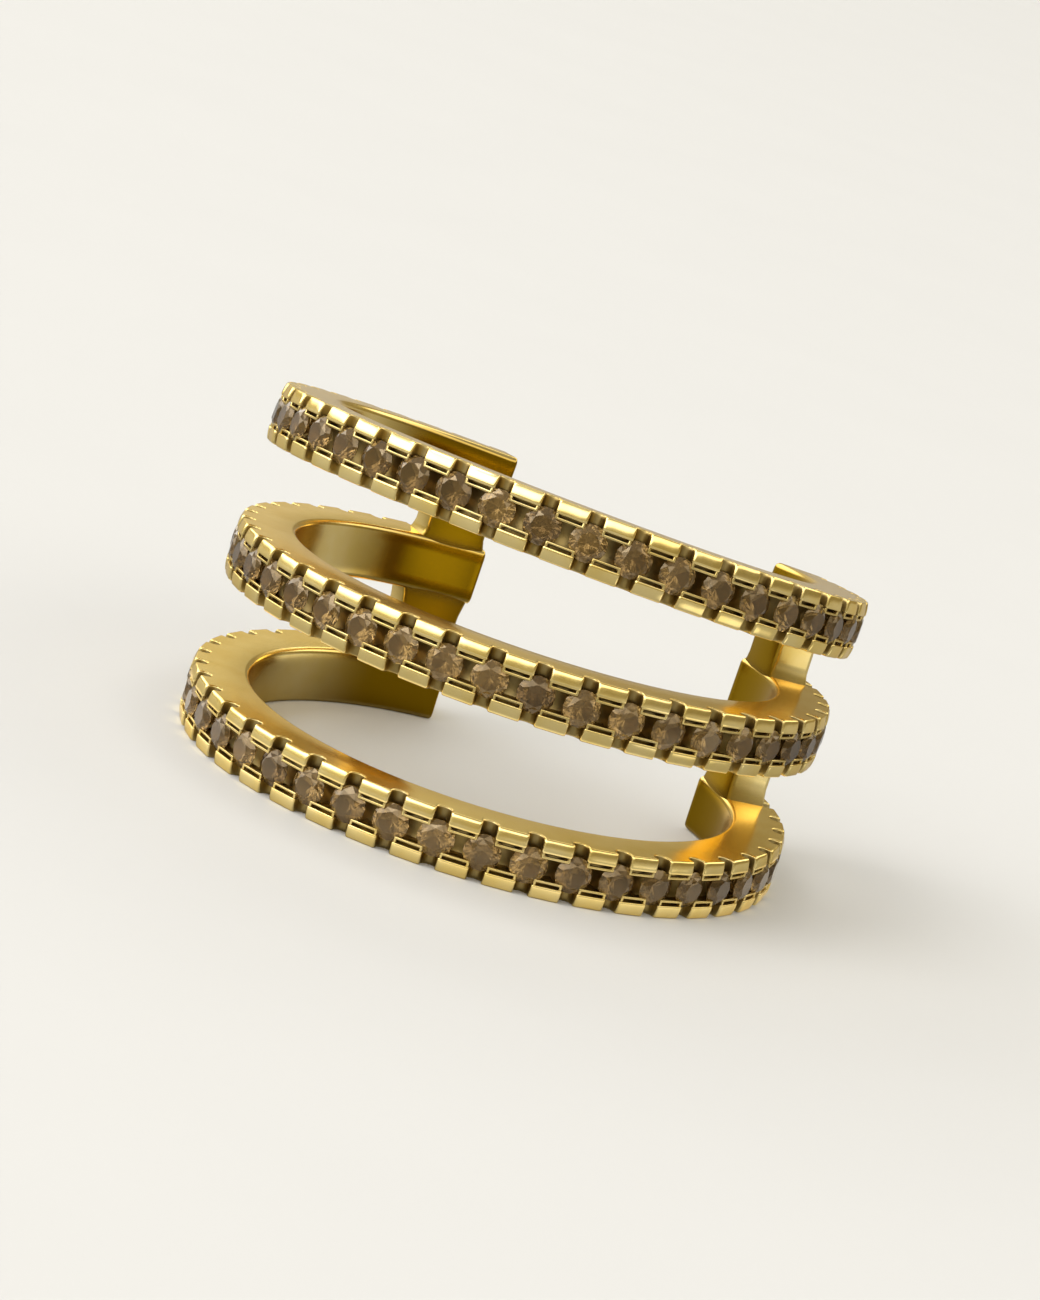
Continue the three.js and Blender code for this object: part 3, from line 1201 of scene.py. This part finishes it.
def plating_group():
    """Polished plating: slow changes of tone, fine polishing marks, a darker, duller recess with
    tarnish and painted shade, and a painted warm reflection and shade on the inner faces.
    """
    name = "Polished plating"
    if name in bpy.data.node_groups:
        return bpy.data.node_groups[name]
    tree = bpy.data.node_groups.new(name, "ShaderNodeTree")
    sockets = (
        ("Light Tone", "NodeSocketColor", (0.93, 0.73, 0.36, 1)),
        ("Deep Tone", "NodeSocketColor", (0.86, 0.62, 0.24, 1)),
        ("Patina Tone", "NodeSocketColor", (0.2, 0.11, 0.03, 1)),
        ("Inner Tone", "NodeSocketColor", (0.6, 0.36, 0.06, 1)),
        ("Recess", "NodeSocketFloat", 0.0),
        ("Inner", "NodeSocketFloat", 0.0),
        ("Gloss", "NodeSocketFloat", 0.13),
        ("Tone Scale", "NodeSocketFloat", 900.0),
        ("Mark Scale", "NodeSocketFloat", 9000.0),
        ("Mark Height", "NodeSocketFloat", 0.1),
    )
    for label, kind, default in sockets:
        tree.interface.new_socket(label, in_out="INPUT", socket_type=kind).default_value = default
    tree.interface.new_socket("Color", in_out="OUTPUT", socket_type="NodeSocketColor")
    tree.interface.new_socket("Roughness", in_out="OUTPUT", socket_type="NodeSocketFloat")
    tree.interface.new_socket("Height", in_out="OUTPUT", socket_type="NodeSocketFloat")
    group = put(tree, "NodeGroupInput")
    output = put(tree, "NodeGroupOutput")
    place = put(tree, "ShaderNodeTexCoord").outputs["Object"]

    slow = put(tree, "ShaderNodeTexNoise")
    slow.inputs["Detail"].default_value = 3
    tree.links.new(place, slow.inputs["Vector"])
    tree.links.new(group.outputs["Tone Scale"], slow.inputs["Scale"])
    spread = put(tree, "ShaderNodeMapRange")
    tree.links.new(slow.outputs["Fac"], spread.inputs["Value"])
    spread.inputs["From Min"].default_value, spread.inputs["From Max"].default_value = TONE_RANGE
    tone = mix_colours(tree, spread.outputs[0], group.outputs["Light Tone"], group.outputs["Deep Tone"])
    # Painted warm reflection and shade on the faces towards the middle of the rings
    tone = mix_colours(tree, group.outputs["Inner"], tone, group.outputs["Inner Tone"])
    # Tarnish and painted shade: the recesses darken towards their tone
    dark = maths(tree, "MULTIPLY", group.outputs["Recess"], PATINA_AND_SHADE_AMOUNT)
    colour = mix_colours(tree, dark, tone, group.outputs["Patina Tone"])
    tree.links.new(colour, output.inputs["Color"])

    stretch = put(tree, "ShaderNodeMapping")
    stretch.inputs["Scale"].default_value = MARK_STRETCH
    tree.links.new(place, stretch.inputs["Vector"])
    marks = put(tree, "ShaderNodeTexNoise")
    marks.inputs["Detail"].default_value = 4
    tree.links.new(stretch.outputs[0], marks.inputs["Vector"])
    tree.links.new(group.outputs["Mark Scale"], marks.inputs["Scale"])
    dull = maths(tree, "MULTIPLY", marks.outputs["Fac"], MARK_DULLNESS)
    worn = maths(tree, "MULTIPLY", group.outputs["Recess"], RECESS_DULLNESS)
    rough = maths(tree, "ADD", maths(tree, "ADD", group.outputs["Gloss"], dull), worn)
    tree.links.new(rough, output.inputs["Roughness"])
    height = maths(tree, "MULTIPLY", marks.outputs["Fac"], group.outputs["Mark Height"])
    tree.links.new(height, output.inputs["Height"])
    return tree


def with_alpha(colour):
    """An opaque colour for a socket."""
    return (*colour, 1.0)


def gold_material(scene):
    """The plating on every metal piece. The faces towards the bore take a painted warm reflection and
    painted shade, which deepen towards the back.
    """
    name = "Polished gold plating"
    if name in bpy.data.materials:
        return bpy.data.materials[name]
    finish = scene.cuff_finish
    material = bpy.data.materials.new(name)
    material.use_nodes = True
    tree = material.node_tree
    shader = tree.nodes["Principled BSDF"]
    plating = put(tree, "ShaderNodeGroup", node_tree=plating_group())
    plating.inputs["Light Tone"].default_value = with_alpha(finish.gold)
    plating.inputs["Deep Tone"].default_value = with_alpha(finish.gold_deep)
    plating.inputs["Patina Tone"].default_value = with_alpha(finish.patina_and_shade)
    plating.inputs["Inner Tone"].default_value = with_alpha(finish.amber_reflection)
    plating.inputs["Gloss"].default_value = finish.gloss
    # Tarnish and painted shade in the recesses
    recess = put(tree, "ShaderNodeAttribute", attribute_name="recess")
    tree.links.new(recess.outputs["Fac"], plating.inputs["Recess"])
    # Painted warm reflection and shade on the faces towards the bore, fuller towards the back
    inner = put(tree, "ShaderNodeAttribute", attribute_name="inner")
    place = put(tree, "ShaderNodeSeparateXYZ")
    tree.links.new(put(tree, "ShaderNodeTexCoord").outputs["Object"], place.inputs[0])
    deepen = put(tree, "ShaderNodeMapRange", interpolation_type="SMOOTHSTEP")
    tree.links.new(place.outputs["Y"], deepen.inputs["Value"])
    deepen.inputs["From Min"].default_value = AMBER_REFLECTION_START
    deepen.inputs["From Max"].default_value = AMBER_REFLECTION_FULL
    deepen.inputs["To Min"].default_value = FRONT_AMBER_REFLECTION
    amber_reflection = maths(tree, "MULTIPLY", inner.outputs["Fac"], deepen.outputs[0])
    tree.links.new(amber_reflection, plating.inputs["Inner"])
    tree.links.new(plating.outputs["Color"], shader.inputs["Base Color"])
    tree.links.new(plating.outputs["Roughness"], shader.inputs["Roughness"])
    shader.inputs["Metallic"].default_value = 1.0
    shader.inputs["Specular Tint"].default_value = GOLD_TINT
    bump = put(tree, "ShaderNodeBump")
    bump.inputs["Strength"].default_value = MARK_STRENGTH
    bump.inputs["Distance"].default_value = MARK_DISTANCE
    tree.links.new(plating.outputs["Height"], bump.inputs["Height"])
    tree.links.new(bump.outputs[0], shader.inputs["Normal"])
    return material


def stone_material(scene):
    """Clear brown stone with a faint cloud. Each stone has its own shade."""
    name = "Cut stone"
    if name in bpy.data.materials:
        return bpy.data.materials[name]
    finish = scene.cuff_finish
    material = bpy.data.materials.new(name)
    material.use_nodes = True
    tree = material.node_tree
    shader = tree.nodes["Principled BSDF"]
    shade = put(tree, "ShaderNodeAttribute", attribute_name="stone_shade")
    place = put(tree, "ShaderNodeTexCoord").outputs["Object"]
    cloud = maths(tree, "MULTIPLY", link_noise(tree, place, CLOUD_SCALE, 2.0), CLOUD_AMOUNT)
    own_shade = maths(tree, "MULTIPLY", shade.outputs["Fac"], SHADE_AMOUNT)
    depth = maths(tree, "ADD", own_shade, cloud)
    colour = mix_colours(tree, depth, with_alpha(finish.stone), with_alpha(finish.stone_dark))
    tree.links.new(colour, shader.inputs["Base Color"])
    polish = link_noise(tree, place, POLISH_SCALE, 3.0)
    roughness = maths(tree, "MULTIPLY", polish, POLISH_ROUGHNESS)
    tree.links.new(roughness, shader.inputs["Roughness"])
    shader.inputs["IOR"].default_value = STONE_IOR
    shader.inputs["Specular Tint"].default_value = STONE_TINT
    shader.inputs["Transmission Weight"].default_value = STONE_TRANSMISSION
    return material


def floor_material(scene):
    """A plain pale floor. Polished metal sees painted reflections in it: duller ground, a pale ring
    and a pale patch, which the camera never sees.
    """
    material = bpy.data.materials.new("Pale floor")
    material.use_nodes = True
    tree = material.node_tree
    shader = tree.nodes["Principled BSDF"]
    place = put(tree, "ShaderNodeTexCoord").outputs["Object"]
    grain = link_noise(tree, place, FLOOR_GRAIN_SCALE, 4.0)
    base = scene.cuff_stage.floor_colour
    darker = [value * FLOOR_GRAIN_TONE for value in base]
    plain = mix_colours(tree, grain, with_alpha(base), with_alpha(darker))
    distance = put(tree, "ShaderNodeVectorMath", operation="LENGTH")
    tree.links.new(place, distance.inputs[0])
    ramp = put(tree, "ShaderNodeValToRGB")
    share = maths(tree, "DIVIDE", distance.outputs["Value"], FLOOR_RADIUS)
    tree.links.new(share, ramp.inputs["Fac"])
    elements = ramp.color_ramp.elements
    for element, (position, value) in zip(elements, (FLOOR_REFLECTION_TONES[0], FLOOR_REFLECTION_TONES[-1])):
        element.position, element.color = position, (value, value, value, 1)
    for position, value in FLOOR_REFLECTION_TONES[1:-1]:
        elements.new(position).color = (value, value, value, 1)
    from_patch = put(tree, "ShaderNodeVectorMath", operation="DISTANCE")
    tree.links.new(place, from_patch.inputs[0])
    from_patch.inputs[1].default_value = PATCH_MIDDLE
    patch = put(tree, "ShaderNodeMapRange", interpolation_type="SMOOTHSTEP")
    tree.links.new(from_patch.outputs["Value"], patch.inputs["Value"])
    patch.inputs["From Min"].default_value, patch.inputs["From Max"].default_value = PATCH_EDGE
    mirrored_tone = mix_colours(tree, patch.outputs[0], ramp.outputs["Color"], PATCH_REFLECTION_TONE)
    mirrored_ray = put(tree, "ShaderNodeLightPath").outputs["Is Glossy Ray"]
    colour = mix_colours(tree, mirrored_ray, plain, mirrored_tone)
    tree.links.new(colour, shader.inputs["Base Color"])
    shader.inputs["Roughness"].default_value = FLOOR_ROUGHNESS
    shader.inputs["Specular IOR Level"].default_value = FLOOR_SPECULAR
    return material


# Stage


def set_key_light(scene):
    """The one lamp, soft and high on the left in front."""
    light = bpy.data.lights.new("Key", "AREA")
    light.shape = "RECTANGLE"
    light.size, light.size_y = KEY_SIZE
    light.energy = KEY_POWER
    light.color = KEY_COLOUR
    lamp = bpy.data.objects.new("Key", light)
    lamp.location = KEY_PLACE
    lamp.visible_camera = False
    lamp.rotation_euler = (Vector(KEY_AIM) - Vector(KEY_PLACE)).to_track_quat("-Z", "Y").to_euler()
    scene.collection.objects.link(lamp)


def set_world(scene):
    """A band of soft light all round the object, brighter in front on the left, with a grey card
    behind it that gives polished metal its contrast. The camera itself sees only a pale backdrop."""
    world = bpy.data.worlds.new("Soft studio")
    scene.world = world
    world.use_nodes = True
    tree = world.node_tree
    room = tree.nodes["Background"]
    place = put(tree, "ShaderNodeTexCoord").outputs["Generated"]

    def along(direction):
        """How far the ray points this way, from minus to plus this direction's length."""
        node = put(tree, "ShaderNodeVectorMath", operation="DOT_PRODUCT")
        tree.links.new(place, node.inputs[0])
        node.inputs[1].default_value = direction
        return node.outputs["Value"]

    ramp = put(tree, "ShaderNodeValToRGB")
    tree.links.new(maths(tree, "ADD", along((-ROOM_TILT, 0.0, 0.5)), 0.5), ramp.inputs["Fac"])
    elements = ramp.color_ramp.elements
    elements[0].position, elements[0].color = ROOM_LOWEST, ROOM_BELOW
    elements[1].position, elements[1].color = 1.0, ROOM_ZENITH
    for degrees, value in ROOM_TONES:
        element = elements.new(0.5 + math.sin(math.radians(degrees)) / 2)
        element.color = with_alpha(value)
    azimuth = scene.cuff_stage.azimuth
    card = put(tree, "ShaderNodeMapRange", interpolation_type="SMOOTHSTEP")
    tree.links.new(along((-math.sin(azimuth), math.cos(azimuth), 0.0)), card.inputs["Value"])
    card.inputs["From Min"].default_value, card.inputs["From Max"].default_value = CARD_EDGE
    rightwards = maths(tree, "ADD", along(ROOM_RIGHTWARDS), 0.5)
    tint = mix_colours(tree, rightwards, *ROOM_TINTS)
    tone = mix_colours(tree, 1.0, ramp.outputs["Color"], tint, "MULTIPLY")
    fade = put(tree, "ShaderNodeMapRange", interpolation_type="SMOOTHSTEP")
    tree.links.new(along((math.cos(azimuth), math.sin(azimuth), 0.0)), fade.inputs["Value"])
    fade.inputs["From Min"].default_value = -CARD_FADE
    fade.inputs["From Max"].default_value = CARD_FADE
    card_tone = mix_colours(tree, fade.outputs[0], *CARD_TONES)
    tree.links.new(mix_colours(tree, card.outputs[0], tone, card_tone), room.inputs["Color"])
    room.inputs["Strength"].default_value = ROOM_STRENGTH

    backdrop = put(tree, "ShaderNodeBackground")
    backdrop.inputs["Color"].default_value = (1, 1, 1, 1)
    backdrop.inputs["Strength"].default_value = BACKDROP_STRENGTH
    seen = put(tree, "ShaderNodeLightPath").outputs["Is Camera Ray"]
    choice = put(tree, "ShaderNodeMixShader")
    tree.links.new(seen, choice.inputs[0])
    tree.links.new(room.outputs[0], choice.inputs[1])
    tree.links.new(backdrop.outputs[0], choice.inputs[2])
    tree.links.new(choice.outputs[0], tree.nodes["World Output"].inputs["Surface"])


def set_camera(scene):
    """The camera that sees the object as the photograph does."""
    stage = scene.cuff_stage
    data = bpy.data.cameras.new("Photo view")
    data.lens = stage.lens
    data.sensor_width = SENSOR_WIDTH
    data.clip_start, data.clip_end = CLIP_RANGE
    camera = bpy.data.objects.new("Photo view", data)
    scene.collection.objects.link(camera)
    turn = (
        Matrix.Rotation(stage.azimuth, 4, "Z")
        @ Matrix.Rotation(math.pi / 2 - stage.elevation, 4, "X")
        @ Matrix.Rotation(stage.roll, 4, "Z")
    )
    back = turn @ Vector((0, 0, stage.distance))
    camera.matrix_world = Matrix.Translation(Vector(stage.aim) + back) @ turn
    scene.camera = camera


class CUFF_OT_stage(bpy.types.Operator):
    """Make the floor, the lights and the camera"""

    bl_idname = "scene.cuff_stage"
    bl_label = "Stage"

    def execute(self, context):
        scene = context.scene
        signs = ((-1, -1), (1, -1), (1, 1), (-1, 1))
        corners = [(x * FLOOR_REACH, y * FLOOR_REACH, 0) for x, y in signs]
        mesh = bpy.data.meshes.new("floor")
        mesh.from_pydata(corners, [], [(0, 1, 2, 3)])
        floor = add_object("floor", mesh)
        mesh.materials.append(floor_material(scene))
        set_world(scene)
        set_camera(scene)
        set_key_light(scene)
        scene.view_settings.view_transform = "Standard"
        return {"FINISHED"}


# Panel and registration


class CUFF_PT_panel(bpy.types.Panel):
    """Lists the pieces of the ear cuff and the sizes that they are made from"""

    bl_idname = "CUFF_PT_panel"
    bl_label = "Ear Cuff"
    bl_space_type = "VIEW_3D"
    bl_region_type = "UI"
    bl_category = "Ear Cuff"

    def draw(self, context):
        scene = context.scene
        for operator in PIECE_OPERATORS:
            self.layout.operator(operator.bl_idname)
        for name, _ in SETTINGS:
            settings = getattr(scene, name)
            box = self.layout.box()
            for key in settings.__annotations__:
                box.prop(settings, key)


SETTINGS = (
    ("cuff_band", CuffBandSizes),
    ("cuff_stone", CuffStoneSizes),
    ("cuff_prong", CuffProngSizes),
    ("cuff_post", CuffPostSizes),
    ("cuff_finish", CuffFinish),
    ("cuff_stage", CuffStage),
)
PIECE_OPERATORS = (CUFF_OT_bands, CUFF_OT_prongs, CUFF_OT_posts, CUFF_OT_stones, CUFF_OT_stage)


def register():
    for name, group in SETTINGS:
        bpy.utils.register_class(group)
        setattr(bpy.types.Scene, name, bpy.props.PointerProperty(type=group))
    for operator in PIECE_OPERATORS:
        bpy.utils.register_class(operator)
    bpy.utils.register_class(CUFF_PT_panel)


def unregister():
    bpy.utils.unregister_class(CUFF_PT_panel)
    for operator in reversed(PIECE_OPERATORS):
        bpy.utils.unregister_class(operator)
    for name, group in reversed(SETTINGS):
        delattr(bpy.types.Scene, name)
        bpy.utils.unregister_class(group)


def main():
    register()
    bpy.ops.object.cuff_bands()
    bpy.ops.object.cuff_prongs()
    bpy.ops.object.cuff_posts()
    bpy.ops.object.cuff_stones()
    bpy.ops.scene.cuff_stage()


if __name__ == "__main__":
    main()
